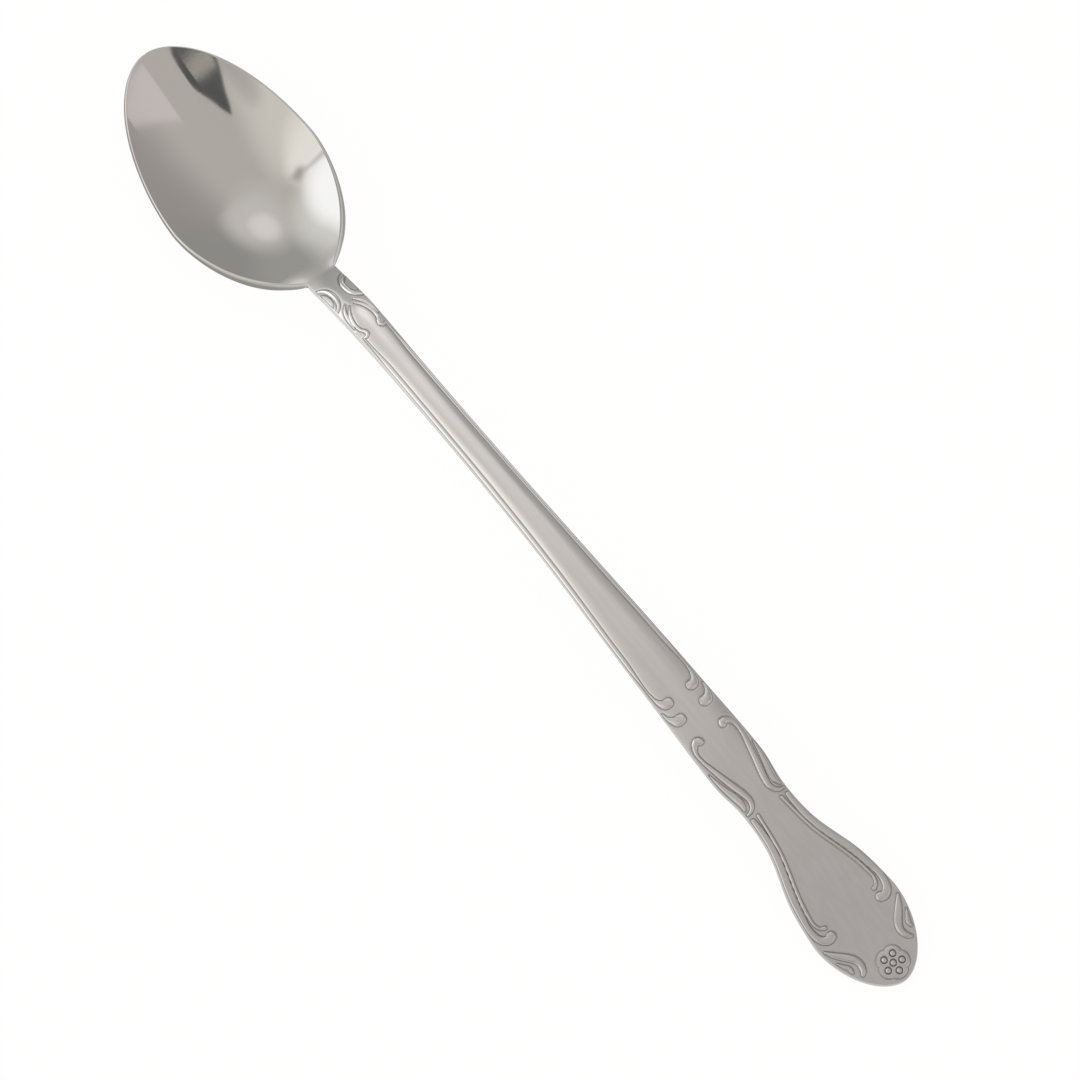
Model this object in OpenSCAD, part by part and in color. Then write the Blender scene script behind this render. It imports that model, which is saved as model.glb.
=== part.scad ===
// Iced tea spoon, stamped from one blank of stainless steel, with a chased pattern on its handle.
// It lies on its back: the bowl's underside and the handle's end touch z = 0, +X runs to the handle's end.

/* [Bowl] */
// Length of the bowl, from its tip to the neck
bowl_len = 45.5; // [38:0.5:55]
// Width of the bowl at its rim
bowl_w = 28.8; // [22:0.2:34]
// Depth of the hollow below the rim, at its deepest
bowl_depth = 5.6; // [4:0.1:10]
// Distance from the bowl's tip to its widest place
bowl_wide_at = 25.4; // [20:0.5:30]
// Thickness of the metal in the bowl
bowl_wall = 0.8; // [0.5:0.05:1.2]
// How much higher the rim lies at the tip than at the heel
tip_rise = 7.6; // [3:0.5:10]

/* [Neck] */
// Length of the neck, where the bowl runs into the stem
neck_len = 16; // [12:0.5:22]
// Width of the neck
neck_w = 5.3; // [4.5:0.1:8]
// Thickness of the neck's side walls
neck_edge = 2.2; // [1.4:0.1:2.6]

/* [Stem] */
// Length of the plain stem
stem_len = 60; // [40:1:80]
// Width of the stem where it is thinnest
stem_w = 5.1; // [4:0.05:7]
// Thickness of the side walls along the stem and the shoulder
stem_edge = 1.3; // [0.9:0.1:2]
// Height of the rounded crown above the side walls
stem_crown = 0.75; // [0.3:0.05:1.2]
// Height of the stem's highest place above the table, at its side walls
arch_h = 11.7; // [9:0.1:16]

/* [Shoulder] */
// Length of the shoulder, up to the waist
shoulder_len = 33.5; // [25:0.5:42]
// Width of the shoulder at its widest
shoulder_w = 9.3; // [7.5:0.1:12]
// Width of the waist
waist_w = 7.9; // [6.5:0.1:10]

/* [Handle end] */
// Length of the handle's end, from the waist to the tip
end_len = 35; // [28:0.5:42]
// Width of the handle's end
end_w = 15.9; // [13:0.1:20]
// Length of the round that closes the handle's end
end_round_len = 12.7; // [9:0.1:16]
// Thickness of the side walls of the handle's end
end_edge = 1.6; // [1:0.1:2.4]
// Height of the crown on the handle's end
end_crown = 0.3; // [0.1:0.05:0.8]
// How far the underside bulges between its side walls
belly = 0.25; // [0.1:0.05:0.5]

/* [Ornament] */
// Width of the thread along each edge of the stem
thread_w = 0.5; // [0.3:0.05:0.8]
// Height of the thread above the crown
thread_h = 0.16; // [0.06:0.02:0.3]
// Distance from the edge to the middle of the thread
thread_inset = 0.75; // [0.5:0.05:1.2]
// Width of the fine ridges that draw the crescents, curls and leaves
ridge_w = 0.55; // [0.35:0.05:0.8]
// Height of those ridges
ridge_h = 0.2; // [0.1:0.02:0.4]
// Width of the broad band of the border scrolls and the long leaves
band_w = 1; // [0.7:0.05:1.4]
// Height of that band
band_h = 0.3; // [0.15:0.05:0.5]
// Half the length of a neck crescent along the edge
crescent_len = 3.1; // [2:0.1:3.6]
// How far a neck crescent reaches in from the edge
crescent_reach = 1.8; // [1.2:0.1:2.2]
// Radius of the flower at the tip of a petal
flower_r = 2.7; // [2:0.1:3.4]
// Distance from the flower's middle to the handle's tip
flower_inset = 3.1; // [3:0.1:6]
// Radius of a bead in the flower
dot_r = 0.55; // [0.35:0.05:0.8]
// Height of a bead in the flower
dot_h = 0.35; // [0.15:0.05:0.6]

/* [Hidden] */

polished = "silver";
satin = "darkgray";

// Stations along the spoon, from the bowl's tip
neck_at = bowl_len;
stem_at = neck_at + neck_len;
shoulder_at = stem_at + stem_len;
waist_at = shoulder_at + shoulder_len;
length = waist_at + end_len;
round_at = length - end_round_len;
heel_len = bowl_len - bowl_wide_at;

// The rim stands in from the bowl's outer line by what the sloping wall takes, at the sides and at the tip
rim_inset = bowl_wall * 0.7;
tip_inset = bowl_wall * 0.43;
// Powers that shape the outlines: 2 is an ellipse, less is more pointed
tip_power = 1.85;
heel_power = 1.7;
end_power = 1.82;
// Power that rounds the corner between the heel and the neck
corner_power = 3;
// The heel's own curve would close this far beyond the start of the neck
heel_over = bowl_wall * 0.4;
// Above 1, the bowl's walls are steeper than a dish's
fullness = 1;
// How far an edge bulges, as a share of its thickness
bulge_share = 0.12;
// How far a wall's thickness and the crown fade over the heel and the neck, as shares of each
heel_fade_share = 0.35;
neck_fade_share = 0.6;

// Counts of rows and points
ring_points = 15;
tip_rows = 9;
heel_rows = 9;
neck_rows = 8;
stem_rows = 10;
shoulder_rows = 12;
end_rows = 12;
round_rows = 9;
path_steps = 4;
loop_steps = 40;
dot_steps = 24;
// The first row of a rounded end lies this many degrees in, so that it has a width
first_turn = 4;

function mix(a, b, s) = a + (b - a) * s;
function clamp01(s) = max(0, min(1, s));
function ease(s) = let (c = clamp01(s)) c * c * (3 - 2 * c);

// A smooth curve through the pairs [place, value] of a table
function gap_slope(table, i) = (table[i + 1][1] - table[i][1]) / (table[i + 1][0] - table[i][0]);
function knot_slope(table, i) =
    i == 0 ? gap_slope(table, 0) :
    i == len(table) - 1 ? gap_slope(table, i - 1) :
    let (before = table[i][0] - table[i - 1][0], after = table[i + 1][0] - table[i][0])
    (after * gap_slope(table, i - 1) + before * gap_slope(table, i)) / (before + after);
function knot_before(table, x, i = 0) =
    i >= len(table) - 2 || x < table[i + 1][0] ? i : knot_before(table, x, i + 1);
function smooth(table, x) =
    let (
        i = knot_before(table, x),
        h = table[i + 1][0] - table[i][0],
        s = clamp01((x - table[i][0]) / h)
    )
    (2 * pow(s, 3) - 3 * pow(s, 2) + 1) * table[i][1]
    + (pow(s, 3) - 2 * pow(s, 2) + s) * h * knot_slope(table, i)
    + (3 * pow(s, 2) - 2 * pow(s, 3)) * table[i + 1][1]
    + (pow(s, 3) - pow(s, 2)) * h * knot_slope(table, i + 1);

// Places and sizes below are shares: of a zone's length, and of the step from one named width to the next
stem_swell_shares = [[0.05, 0], [0.3, 0.025], [0.52, 0.105], [0.78, 0.3]];
shoulder_swell_shares = [[0.08, 0.62], [0.5, 0.84], [0.74, 0.96], [0.86, 0.955]];
end_swell_shares = [[0.19, 0.08], [0.47, 0.77], [0.64, 0.955], [0.8, 1], [1, 1]];

width_table = concat(
    [[neck_at - neck_len / 2, neck_w], [neck_at + neck_len / 4, neck_w]],
    [for (s = stem_swell_shares) [stem_at + stem_len * s[0], mix(stem_w, shoulder_w, s[1])]],
    [for (s = shoulder_swell_shares) [shoulder_at + shoulder_len * s[0], mix(stem_w, shoulder_w, s[1])]],
    [[waist_at, waist_w]],
    [for (s = end_swell_shares) [waist_at + end_len * s[0], mix(waist_w, end_w, s[1])]]
);

// Height of the side walls' middle: over the bowl in shares of tip_rise above the heel, then of arch_h
bowl_rise_shares = [[0, 1], [0.11, 0.85], [0.26, 0.61], [0.44, 0.3], [0.62, 0.1], [0.8, 0.02], [0.92, 0.04]];
neck_rise_shares = [[0, 0.08], [0.28, 0.36], [0.6, 0.64]];
stem_height_shares = [[0, 0.86], [0.22, 0.925], [0.5, 0.985], [0.72, 1]];
shoulder_height_shares = [[0, 0.905], [0.43, 0.79], [0.85, 0.66]];
end_height_shares = [[0.28, 0.46], [0.66, 0.22]];

function outline(d, power) = pow(max(0, 1 - pow(abs(d), power)), 1 / power);

// Half width of the spoon at x, with the bowl's own line moved in by inset
function handle_half(x) = smooth(width_table, x) / 2
    * (x > round_at ? outline((x - round_at) / end_round_len, end_power) : 1);
function bowl_half(x, inset) = (bowl_w / 2 - inset)
    * (x < bowl_wide_at ? outline((x - bowl_wide_at) / (bowl_wide_at - tip_inset), tip_power)
                        : outline(min(1, (x - bowl_wide_at) / (heel_len + heel_over - inset)), heel_power));
function half_width(x, inset) =
    let (neck_part = handle_half(x) * ease((x - bowl_wide_at) / heel_len + heel_fade_share))
    x < bowl_wide_at ? bowl_half(x, inset)
    : pow(pow(bowl_half(x, inset), corner_power) + pow(neck_part, corner_power), 1 / corner_power);

// 0 in the bowl, 1 on the handle
function on_handle(x) = ease((x - neck_at + heel_len * heel_fade_share) / (heel_len * heel_fade_share
    + neck_len * neck_fade_share));

thickness_table = [[0, bowl_wall], [bowl_wide_at, bowl_wall], [neck_at, mix(bowl_wall, neck_edge, 0.8)],
    [neck_at + neck_len / 3, neck_edge], [stem_at + stem_len / 6, stem_edge], [waist_at, stem_edge],
    [round_at, end_edge], [length, end_edge]];
function edge_thickness(x) = smooth(thickness_table, x);

crown_table = [[neck_at - heel_len * heel_fade_share, 0], [neck_at, stem_crown / 3], [stem_at, stem_crown],
    [shoulder_at + shoulder_len / 2, stem_crown], [waist_at, mix(end_crown, stem_crown, 0.6)],
    [waist_at + end_len / 2, end_crown], [length, 0]];
function crown(x) = smooth(crown_table, x);

// Depth of the hollow at the share t of the half width w
function hollow(w, t) =
    let (fill = pow(2 * w / bowl_w, 2) * (1 - t * t))
    bowl_depth * (1 - pow(1 - min(1, fill), fullness));

// The top at x, at the share t of the half width, for a given table of side heights
function top_of(x, t, heights) =
    let (
        w = half_width(x, rim_inset * (1 - on_handle(x))),
        edge = smooth(heights, x) + edge_thickness(x) / 2
    )
    [x, w * t, edge + crown(x) * (1 - t * t) - hollow(w, t) * (1 - on_handle(x))];
function unit(v) = v / norm(v);
probe = 0.01;
function normal_of(x, t, heights) = unit(cross(
    top_of(x + probe, t, heights) - top_of(x, t, heights),
    top_of(x, min(1, t + probe), heights) - top_of(x, min(1, t + probe) - probe, heights)));

// The underside: in the bowl it runs parallel to the hollow, on the handle it is nearly flat
function under_of(x, t, heights) =
    let (
        p = top_of(x, t, heights),
        shell = p - normal_of(x, t, heights) * edge_thickness(x),
        flat = [x, p.y, smooth(heights, x) - edge_thickness(x) / 2 - belly * (1 - t * t)]
    )
    mix(shell, flat, on_handle(x));

// Places of the rings along the bowl and the handle's end, closer together where an end rounds off
function even(from, to, rows) = [for (i = [0 : rows]) mix(from, to, i / rows)];
bowl_places = concat(
    [for (i = [0 : tip_rows - 1])
        let (turn = mix(first_turn, 90, i / tip_rows))
        bowl_wide_at - (bowl_wide_at - tip_inset) * cos(turn)],
    [for (i = [0 : heel_rows]) bowl_wide_at + heel_len * sin(90 * i / heel_rows)]
);
// The underside of a bowl whose heel lies at zero gives how far it must be lifted to stand on the table
bowl_heights = [for (s = bowl_rise_shares) [neck_at * s[0], tip_rise * s[1]]];
heel_h = -min([for (x = bowl_places) under_of(x, 0, bowl_heights).z]);

side_heights = concat(
    [for (h = bowl_heights) [h[0], heel_h + h[1]]],
    [for (s = neck_rise_shares) [neck_at + neck_len * s[0], mix(heel_h, arch_h, s[1])]],
    [for (s = stem_height_shares) [stem_at + stem_len * s[0], arch_h * s[1]]],
    [for (s = shoulder_height_shares) [shoulder_at + shoulder_len * s[0], arch_h * s[1]]],
    [for (s = end_height_shares) [waist_at + end_len * s[0], arch_h * s[1]]],
    [[length, end_edge / 2 + belly]]
);

function top(x, t) = top_of(x, t, side_heights);
function under(x, t) = under_of(x, t, side_heights);
function normal(x, t) = normal_of(x, t, side_heights);

// One ring of the spoon: the top from side to side, the bulging edge, the underside back, the other edge
function share_at(i) = 2 * i / (ring_points - 1) - 1;
function edge_point(x, side) =
    let (a = top(x, side), b = under(x, side))
    (a + b) / 2 + [0, side * norm(a - b) * bulge_share, 0];
function ring(x) = concat(
    [for (i = [0 : ring_points - 1]) top(x, share_at(i))], [edge_point(x, 1)],
    [for (i = [ring_points - 1 : -1 : 0]) under(x, share_at(i))], [edge_point(x, -1)]
);

// Faces that close a ring of the spoon, in strips from side to side
function cap_faces(start) =
    let (right = start + ring_points, left = start + 2 * ring_points)
    concat(
        [for (i = [0 : ring_points - 2]) [start + i, start + i + 1, left - i]],
        [for (i = [0 : ring_points - 2]) [start + i + 1, left - i - 1, left - i]],
        [[right - 1, right, right + 1], [start, left, left + 1]]
    );
function flip(faces) = [for (f = faces) [f[2], f[1], f[0]]];
function skin_faces(rows, count) = [for (r = [0 : rows - 2], i = [0 : count - 1], half = [0, 1])
    let (a = r * count + i, b = r * count + (i + 1) % count)
    half == 0 ? [a, b, a + count] : [b, b + count, a + count]];

// A length of the spoon through rings at the given places
module zone(places) {
    count = 2 * ring_points + 2;
    rows = len(places);
    polyhedron(
        points = [for (x = places) each ring(x)],
        faces = concat(skin_faces(rows, count), flip(cap_faces(0)), cap_faces((rows - 1) * count)),
        convexity = 8
    );
}

end_places = concat(
    [for (i = [0 : end_rows - 1]) mix(waist_at, round_at, i / end_rows)],
    [for (i = [0 : round_rows]) round_at + end_round_len * sin((90 - first_turn) * i / round_rows)]
);

// A smooth path through hand-placed points [x, t], with path_steps steps between two of them
function path_of(points) =
    let (
        last = len(points) - 1,
        xs = [for (i = [0 : last]) [i, points[i][0]]],
        ts = [for (i = [0 : last]) [i, points[i][1]]]
    )
    [for (i = [0 : last * path_steps]) [smooth(xs, i / path_steps), smooth(ts, i / path_steps)]];

// Section of a raised ridge: a flat foot on the metal and a rounded back, in shares of its width and height
ridge_shares = [[-0.5, 0], [-0.36, 0.7], [0, 1], [0.36, 0.7], [0.5, 0]];
// Both ends are pointed; a lean above 1 moves the widest place towards the last end, as in a comma's head
function taper(s, lean) = mix(0.3, 1, sqrt(sin(180 * pow(s, lean))));

// A ridge along a path on the spoon's top; a closed one runs round
module ridge(path, w, h, lean = 1, closed = false) {
    count = len(path);
    sides = len(ridge_shares);
    feet = [for (p = path) top(p[0], p[1])];
    rings = [for (i = [0 : count - 1])
        let (
            ahead = feet[closed ? (i + 1) % count : min(count - 1, i + 1)],
            behind = feet[closed ? (i + count - 1) % count : max(0, i - 1)],
            up = normal(path[i][0], path[i][1]),
            across = unit(cross(up, ahead - behind)),
            size = closed ? 1 : taper(i / (count - 1), lean)
        )
        for (s = ridge_shares) feet[i] + across * w * size * s[0] + up * h * size * s[1]];
    around = [for (r = [0 : closed ? count - 1 : count - 2], i = [0 : sides - 1], half = [0, 1])
        let (
            a = r * sides + i,
            b = r * sides + (i + 1) % sides,
            c = (a + sides) % (count * sides),
            d = (b + sides) % (count * sides)
        )
        half == 0 ? [a, b, c] : [b, d, c]];
    ends = closed ? [] : concat(
        [for (i = [1 : sides - 2]) [0, i + 1, i]],
        [for (i = [1 : sides - 2]) (count - 1) * sides * [1, 1, 1] + [0, i, i + 1]]);
    polyhedron(points = rings, faces = concat(around, ends), convexity = 6);
}

module both_sides() {
    children();
    mirror([0, 1, 0]) children();
}

// Share of the half width at a distance in from the edge
function in_from_edge(x, distance) = 1 - distance / half_width(x, 0);

module bowl() {
    color(polished) zone(bowl_places);
}

module neck() {
    color(satin) zone(even(neck_at, stem_at, neck_rows));
}

module stem() {
    color(satin) zone(even(stem_at, shoulder_at, stem_rows));
}

module shoulder() {
    color(satin) zone(even(shoulder_at, waist_at, shoulder_rows));
}

module handle_end() {
    color(satin) zone(end_places);
}

// A path through shares of a zone's length and of the half width
function zone_path(from, len, shares) = path_of([for (s = shares) [from + len * s[0], s[1]]]);

// Threads run from the neck's leaves to the first curl on the shoulder
thread_from_share = 0.92;
thread_to_share = 0.34;
thread_rows = 30;
module edge_threads() {
    from = neck_at + neck_len * thread_from_share;
    to = shoulder_at + shoulder_len * thread_to_share;
    color(satin) both_sides()
        ridge([for (x = even(from, to, thread_rows)) [x, in_from_edge(x, thread_inset)]], thread_w, thread_h);
}

// Two arcs on each edge of the neck, one within the other, bulging to the middle
crescent_at_share = 0.305;
crescent_scale_shares = [[1, 1], [0.76, 0.62]];
crescent_steps = 14;
crescent_turn = 8;
module neck_crescents() {
    middle = neck_at + neck_len * crescent_at_share;
    color(satin) both_sides() for (s = crescent_scale_shares) ridge(
        [for (i = [0 : crescent_steps])
            let (
                turn = mix(crescent_turn, 180 - crescent_turn, i / crescent_steps),
                x = middle - crescent_len * s[0] * cos(turn)
            )
            [x, in_from_edge(x, ridge_w / 2 + crescent_reach * s[1] * sin(turn))]],
        ridge_w, ridge_h);
}

// A V of two leaves that open towards the stem: each has an outer line and a vein that ends in a curl
neck_leaf_shares = [[0.49, 0.25], [0.56, 0.53], [0.64, 0.76], [0.72, 0.88]];
neck_vein_shares = [[0.53, 0.2], [0.62, 0.5], [0.7, 0.67], [0.78, 0.7], [0.83, 0.58],
    [0.875, 0.5], [0.9, 0.62], [0.885, 0.82]];
module neck_leaves() {
    color(satin) both_sides() for (shares = [neck_leaf_shares, neck_vein_shares])
        ridge(zone_path(neck_at, neck_len, shares), ridge_w, ridge_h);
}

// Comma-shaped curls on each side of the shoulder, with the head at the last point
comma_shares = [
    [[0.36, 0.84], [0.4, 0.77], [0.428, 0.62], [0.42, 0.47], [0.4, 0.41]],
    [[0.465, 0.9], [0.505, 0.84], [0.53, 0.67], [0.526, 0.5], [0.5, 0.4]]
];
comma_lean = 1.8;
module comma_curls() {
    color(satin) both_sides() for (shares = comma_shares)
        ridge(zone_path(shoulder_at, shoulder_len, shares), band_w, band_h, comma_lean);
}

// Long leaves that start in a curl, sweep in and hook back to the edge just past the waist, each with a vein
shoulder_leaf_shares = [[0.64, 0.42], [0.617, 0.5], [0.617, 0.63], [0.645, 0.79], [0.69, 0.84], [0.76, 0.72],
    [0.86, 0.545], [0.94, 0.475], [0.995, 0.54], [1.025, 0.7], [1.033, 0.86]];
shoulder_vein_shares = [[0.745, 0.88], [0.83, 0.77], [0.92, 0.66], [0.98, 0.68], [1.005, 0.84]];
module shoulder_leaves() {
    color(satin) both_sides() {
        ridge(zone_path(shoulder_at, shoulder_len, shoulder_leaf_shares), (ridge_w + band_w) / 2, band_h);
        ridge(zone_path(shoulder_at, shoulder_len, shoulder_vein_shares), ridge_w, ridge_h);
    }
}

// Bands that follow the edge from the waist and end in a volute, with a fine line inside each
border_band_shares = [[0.07, 0.8], [0.2, 0.84], [0.35, 0.87], [0.5, 0.89], [0.6, 0.9], [0.655, 0.83], [0.68, 0.7],
    [0.668, 0.56], [0.638, 0.51], [0.615, 0.58]];
border_line_shares = [[0.07, 0.62], [0.13, 0.6], [0.22, 0.66], [0.32, 0.7], [0.42, 0.76],
    [0.52, 0.78], [0.575, 0.75], [0.598, 0.68]];
border_lean = 1.3;
module border_scrolls() {
    color(satin) both_sides() {
        ridge(zone_path(waist_at, end_len, border_band_shares), band_w, band_h, border_lean);
        ridge(zone_path(waist_at, end_len, border_line_shares), ridge_w, ridge_h);
    }
}

// Leaves shaped like a J beside the flower, with a vein in each
tip_leaf_shares = [[0.675, 0.92], [0.71, 0.8], [0.775, 0.625], [0.835, 0.6], [0.872, 0.74], [0.872, 0.88]];
tip_vein_shares = [[0.735, 0.9], [0.795, 0.79], [0.83, 0.81], [0.845, 0.89]];
module tip_leaves() {
    color(satin) both_sides() {
        ridge(zone_path(waist_at, end_len, tip_leaf_shares), (ridge_w + band_w) / 2, band_h);
        ridge(zone_path(waist_at, end_len, tip_vein_shares), ridge_w, ridge_h);
    }
}

// A flower of five petals with a bead in each and one in the middle
flower_at = length - flower_inset;
petals = 5;
// How deep the notches between the petals are, and where the beads lie, as shares of the flower's radius
notch_share = 0.2;
dot_ring_share = 0.53;
function flower_point(radius, turn) =
    let (x = flower_at + radius * cos(turn))
    [x, radius * sin(turn) / half_width(x, 0)];
module flower_petals() {
    color(satin) ridge(
        [for (i = [0 : loop_steps - 1])
            let (turn = 360 * i / loop_steps)
            flower_point(flower_r * (1 - notch_share * (1 - sqrt(abs(cos(petals * turn / 2))))), turn)],
        ridge_w, ridge_h, closed = true);
}

module dot(radius, turn) {
    place = flower_point(radius, turn);
    up = normal(place[0], place[1]);
    translate(top(place[0], place[1])) rotate([0, acos(up.z), atan2(up.y, up.x)])
        rotate_extrude($fn = dot_steps) intersection() {
            scale([1, dot_h / dot_r]) circle(dot_r, $fn = dot_steps);
            square([dot_r, dot_h]);
        }
}

module flower_dots() {
    color(satin) {
        dot(0, 0);
        for (i = [0 : petals - 1]) dot(flower_r * dot_ring_share, 360 * i / petals);
    }
}

module placed() {
    translate([-length / 2, 0, 0]) children();
}

placed() bowl();
placed() neck();
placed() stem();
placed() shoulder();
placed() handle_end();
placed() edge_threads();
placed() neck_crescents();
placed() neck_leaves();
placed() comma_curls();
placed() shoulder_leaves();
placed() border_scrolls();
placed() tip_leaves();
placed() flower_petals();
placed() flower_dots();
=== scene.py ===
import math

import bmesh
import bpy
import numpy as np
from mathutils import Matrix, Vector


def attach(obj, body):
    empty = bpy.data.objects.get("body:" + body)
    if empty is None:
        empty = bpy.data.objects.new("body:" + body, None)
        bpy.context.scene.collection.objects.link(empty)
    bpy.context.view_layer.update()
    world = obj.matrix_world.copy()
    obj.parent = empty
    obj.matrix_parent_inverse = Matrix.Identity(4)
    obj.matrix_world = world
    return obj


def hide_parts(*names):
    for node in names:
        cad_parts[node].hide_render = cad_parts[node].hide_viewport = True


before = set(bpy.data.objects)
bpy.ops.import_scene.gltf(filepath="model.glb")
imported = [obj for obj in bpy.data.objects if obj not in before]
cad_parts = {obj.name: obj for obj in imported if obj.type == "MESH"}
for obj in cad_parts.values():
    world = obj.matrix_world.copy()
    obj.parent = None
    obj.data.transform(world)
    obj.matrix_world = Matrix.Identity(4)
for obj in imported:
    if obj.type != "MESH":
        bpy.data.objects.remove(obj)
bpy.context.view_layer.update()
print("frame loaded with", len(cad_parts), "solids")

mm = 0.001

# the spoon's own lines in mm from the bowl's tip, the same as in the solids
form = {
    "bowlLength": 45.5, "bowlWidth": 28.8, "bowlDepth": 5.6, "bowlWidest": 25.4, "bowlWall": 0.8, "tipRise": 7.6,
    "neckLength": 16.0, "neckWidth": 5.3, "neckEdge": 2.2,
    "stemLength": 60.0, "stemWidth": 5.1, "stemEdge": 1.3, "stemCrown": 0.75, "archHeight": 11.7,
    "shoulderLength": 33.5, "shoulderWidth": 9.3, "waistWidth": 7.9,
    "endLength": 35.0, "endWidth": 15.9, "endRound": 12.7, "endEdge": 1.6, "endCrown": 0.3, "belly": 0.25,
    "tipPower": 1.85, "heelPower": 1.7, "endPower": 1.82, "cornerPower": 3.0, "fullness": 1.0,
    "heelFade": 0.35, "neckFade": 0.6,
}
neckAt = form["bowlLength"]
stemAt = neckAt + form["neckLength"]
shoulderAt = stemAt + form["stemLength"]
waistAt = shoulderAt + form["shoulderLength"]
length = waistAt + form["endLength"]
roundAt = length - form["endRound"]
heelLength = form["bowlLength"] - form["bowlWidest"]
rimInset = form["bowlWall"] * 0.7
tipInset = form["bowlWall"] * 0.43
heelOver = form["bowlWall"] * 0.4
# the visual's mirror: the heel's inner corner softened, the rise evened over some mm either way
mirrorFit = {"heelSoft": 0.036, "evening": 3.0, "evenShare": 0.8, "evenSteps": 9, "rimPull": 6}
probe, tiny = 0.01, 1e-12  # mm between the places that give a slope, and a floor under divisors


def mix(a, b, s):
    return a + (b - a) * s


def ease(s):
    c = np.clip(s, 0, 1)
    return c * c * (3 - 2 * c)


def smoothLine(table, x):  # a smooth curve through [place, value] pairs
    places, values = np.array(table, float).T
    gap = np.diff(places)
    slope = np.diff(values) / gap
    knot = np.concatenate([slope[:1], (gap[1:] * slope[:-1] + gap[:-1] * slope[1:]) / (gap[1:] + gap[:-1]), slope[-1:]])
    x = np.asarray(x, float)
    i = np.clip(np.searchsorted(places, x, side="right") - 1, 0, len(places) - 2)
    s = np.clip((x - places[i]) / gap[i], 0, 1)
    return ((2 * s**3 - 3 * s**2 + 1) * values[i] + (s**3 - 2 * s**2 + s) * gap[i] * knot[i]
            + (3 * s**2 - 2 * s**3) * values[i + 1] + (s**3 - s**2) * gap[i] * knot[i + 1])


def zoneLine(start, size, low, high, shares):  # shares of a zone's length and of the way from low to high
    return [[start + size * s, mix(low, high, v)] for s, v in shares]


widthLine = [
    [neckAt - form["neckLength"] / 2, form["neckWidth"]], [neckAt + form["neckLength"] / 4, form["neckWidth"]],
    *zoneLine(stemAt, form["stemLength"], form["stemWidth"], form["shoulderWidth"],
              [[0.05, 0], [0.3, 0.025], [0.52, 0.105], [0.78, 0.3]]),
    *zoneLine(shoulderAt, form["shoulderLength"], form["stemWidth"], form["shoulderWidth"],
              [[0.08, 0.62], [0.5, 0.84], [0.74, 0.96], [0.86, 0.955]]),
    [waistAt, form["waistWidth"]],
    *zoneLine(waistAt, form["endLength"], form["waistWidth"], form["endWidth"],
              [[0.19, 0.08], [0.47, 0.77], [0.64, 0.955], [0.8, 1], [1, 1]]),
]
edgeLine = [
    [0, form["bowlWall"]], [form["bowlWidest"], form["bowlWall"]],
    [neckAt, mix(form["bowlWall"], form["neckEdge"], 0.8)], [neckAt + form["neckLength"] / 3, form["neckEdge"]],
    [stemAt + form["stemLength"] / 6, form["stemEdge"]], [waistAt, form["stemEdge"]],
    [roundAt, form["endEdge"]], [length, form["endEdge"]],
]
crownLine = [
    [neckAt - heelLength * form["heelFade"], 0], [neckAt, form["stemCrown"] / 3], [stemAt, form["stemCrown"]],
    [shoulderAt + form["shoulderLength"] / 2, form["stemCrown"]],
    [waistAt, mix(form["endCrown"], form["stemCrown"], 0.6)],
    [waistAt + form["endLength"] / 2, form["endCrown"]], [length, 0],
]
rimRise = zoneLine(0, neckAt, 0, form["tipRise"], [[0, 1], [0.11, 0.85], [0.26, 0.61], [0.44, 0.3], [0.62, 0.1],
                                                   [0.8, 0.02], [0.92, 0.04]])


def roundOff(d, power):
    return np.maximum(0, 1 - np.abs(d) ** power) ** (1 / power)


def halfWidth(x, inset=0.0, soft=0.0):  # soft rounds the corner where the heel runs into the neck
    x = np.asarray(x, float)
    closing = np.where(x > roundAt, roundOff((x - roundAt) / form["endRound"], form["endPower"]), 1)
    handle = smoothLine(widthLine, x) / 2 * closing * ease((x - form["bowlWidest"]) / heelLength + form["heelFade"])
    front = roundOff((x - form["bowlWidest"]) / (form["bowlWidest"] - tipInset), form["tipPower"])
    left = 1 - np.maximum(0, (x - form["bowlWidest"]) / (heelLength + heelOver - inset)) ** form["heelPower"]
    left = (left + np.sqrt(left**2 + 4 * soft**2)) / (1 + math.sqrt(1 + 4 * soft**2))
    back = np.maximum(left, 0) ** (1 / form["heelPower"])
    bowl = (form["bowlWidth"] / 2 - inset) * np.where(x < form["bowlWidest"], front, back)
    power = form["cornerPower"]
    return np.where(x < form["bowlWidest"], bowl, (bowl**power + handle**power) ** (1 / power))


def onHandle(x):  # 0 in the bowl, 1 on the handle
    heel = heelLength * form["heelFade"]
    return ease((x - neckAt + heel) / (heel + form["neckLength"] * form["neckFade"]))


def riseAt(rise, x):  # the rise, its knots evened out in the bowl so that the mirror has no ripple
    evening = mirrorFit["evening"]
    reach = evening * np.clip(np.minimum(x, neckAt - evening - x) / evening, 0, 1)
    shares = np.linspace(-mirrorFit["evenShare"], mirrorFit["evenShare"], mirrorFit["evenSteps"])
    weights = 1 - np.abs(shares)
    return sum(w * smoothLine(rise, x + k * reach) for k, w in zip(shares, weights / weights.sum()))


def topAt(x, t, rise):
    x, t = np.broadcast_arrays(np.asarray(x, float), np.asarray(t, float))
    inset = rimInset * (1 - onHandle(x))
    w, even = halfWidth(x, inset), halfWidth(x, inset, mirrorFit["heelSoft"])
    full = np.minimum(1, (2 * even / form["bowlWidth"]) ** 2 * (1 - t * t))
    hollow = form["bowlDepth"] * (1 - (1 - full) ** form["fullness"]) * (1 - onHandle(x))
    z = riseAt(rise, x) + smoothLine(edgeLine, x) / 2 + smoothLine(crownLine, x) * (1 - t * t) - hollow
    return np.stack([x, t * (even + (w - even) * t ** mirrorFit["rimPull"]), z], -1)


def unit(v):
    return v / np.maximum(np.linalg.norm(v, axis=-1, keepdims=True), tiny)


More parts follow.
